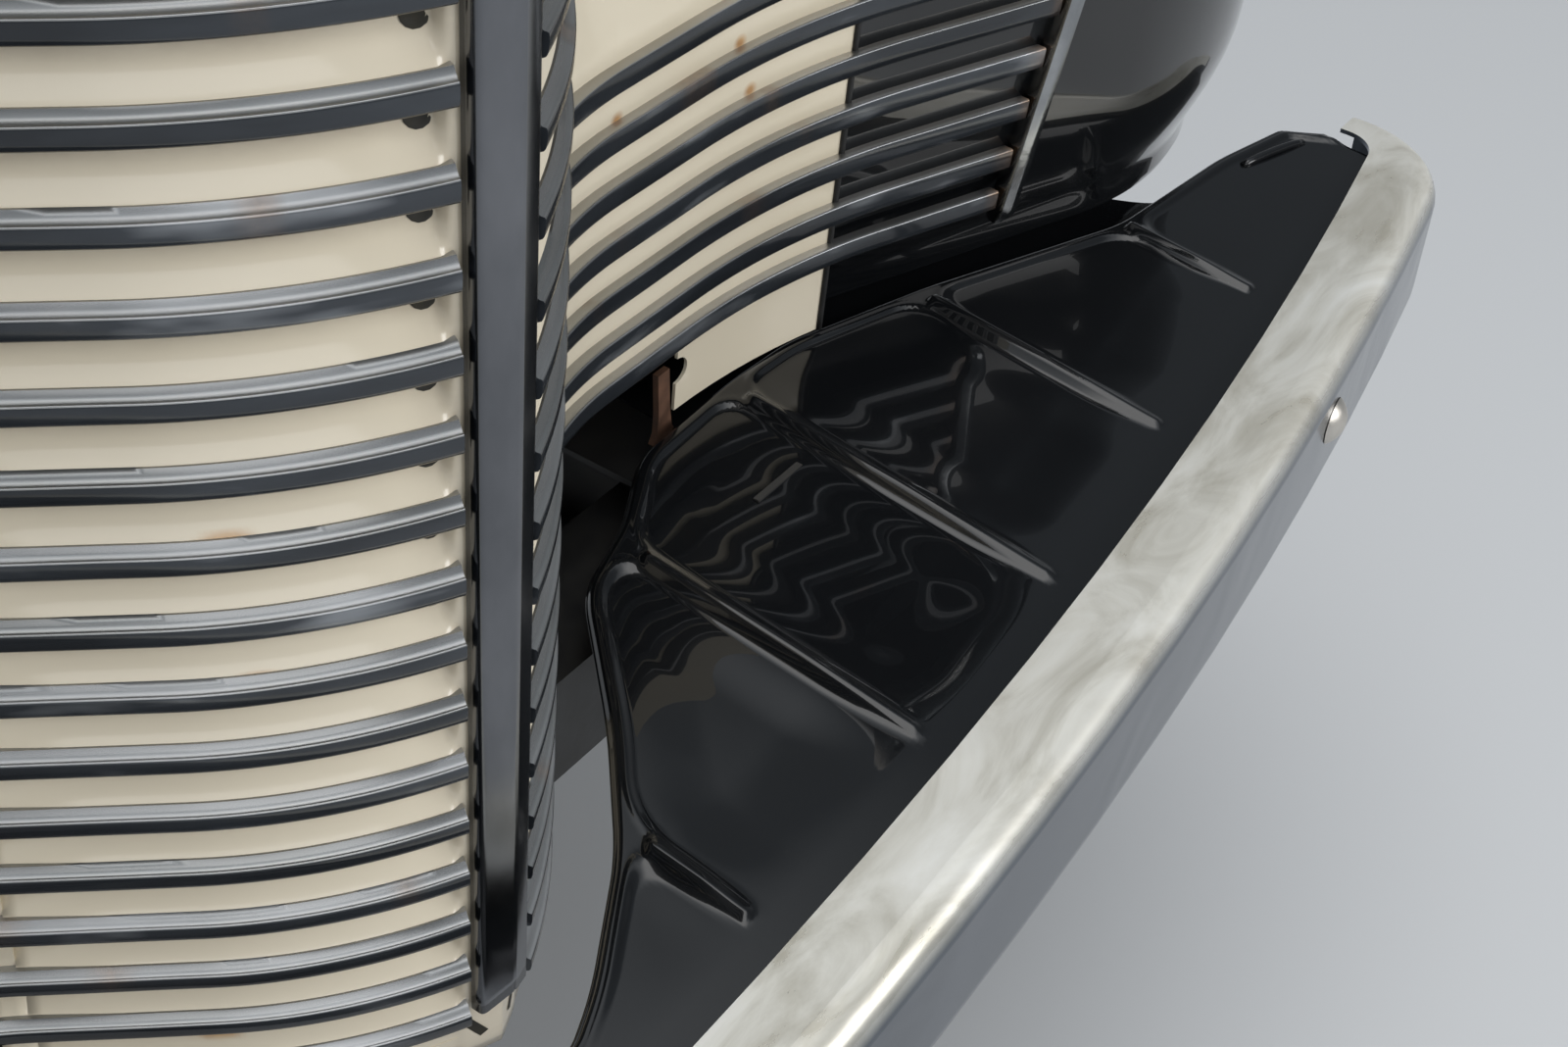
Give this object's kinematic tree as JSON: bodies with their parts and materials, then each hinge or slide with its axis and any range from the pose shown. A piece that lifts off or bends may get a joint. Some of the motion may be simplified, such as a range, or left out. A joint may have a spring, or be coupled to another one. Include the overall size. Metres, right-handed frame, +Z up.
{
  "type": "front end assembly of a panel van",
  "caption": "Front end of a 1940s panel van: V nose with chrome bars running onto the fenders, ribbed splash apron, bumper, lamps and a hood that lifts.",
  "frame": {"origin": "middle of the four bolts of the frame splice, at the rear face of the splice plates", "axes": "+X to the vehicle's left, +Y to the rear, +Z up"},
  "size_m": [1.8896, 1.203, 0.865],
  "materials": {
    "chassis_black": "satin",
    "bumper_chrome": "aged mirror",
    "bolt_chrome": "aged mirror",
    "trim_chrome": "aged mirror",
    "body_black": "gloss",
    "body_cream": "gloss",
    "lamp_glass": "clear",
    "radiator_core": "matt",
    "radiator_tank": "satin",
    "radiator_cap": "satin",
    "hinge_pin": "satin"
  },
  "bodies": {
    "front_end": {"apron_bracket_left": "chassis_black", "apron_bracket_right": "chassis_black", "bumper_bar": "bumper_chrome", "bumper_bolt_left": "bolt_chrome", "bumper_bolt_right": "bolt_chrome", "bumper_iron_left": "chassis_black", "bumper_iron_right": "chassis_black", "catwalk_panel_left": "body_cream", "catwalk_panel_right": "body_cream", "centre_strip": "trim_chrome", "core_support": "chassis_black", "end_strip_left": "trim_chrome", "end_strip_right": "trim_chrome", "fender_gusset_left": "chassis_black", "fender_gusset_right": "chassis_black", "fender_left": "body_black", "fender_right": "body_black", "firewall": "body_cream", "frame_rail_left": "chassis_black", "frame_rail_right": "chassis_black", "front_crossmember": "chassis_black", "grille_bars_left": "trim_chrome", "grille_bars_right": "trim_chrome", "headlamp_bezel_left": "trim_chrome", "headlamp_bezel_right": "trim_chrome", "headlamp_bucket_left": "body_black", "headlamp_bucket_right": "body_black", "headlamp_lens_left": "lamp_glass", "headlamp_lens_right": "lamp_glass", "hinge_leaf_left": "chassis_black", "hinge_leaf_right": "chassis_black", "hinge_pin_left": "hinge_pin", "hinge_pin_right": "hinge_pin", "inner_fender_left": "chassis_black", "inner_fender_right": "chassis_black", "nose_brace_left": "chassis_black", "nose_brace_right": "chassis_black", "nose_panel_left": "body_cream", "nose_panel_right": "body_cream", "parking_lamp_left": "trim_chrome", "parking_lamp_right": "trim_chrome", "radiator_bottom_tank": "radiator_tank", "radiator_cap": "radiator_cap", "radiator_core": "radiator_core", "radiator_top_tank": "radiator_tank", "splash_apron": "body_black", "splice_plate_left": "chassis_black", "splice_plate_right": "chassis_black"},
    "hood_lid": {"hinge_pad_left": "chassis_black", "hinge_pad_right": "chassis_black", "hood": "body_cream"}
  },
  "joints": [
    {"name": "hood_lift", "type": "hinge", "parent": "front_end", "child": "hood_lid", "pos_m": [0, -0.02, 0.783], "axis": [-1, 0, 0], "range_deg": [0, 45]}
  ]
}
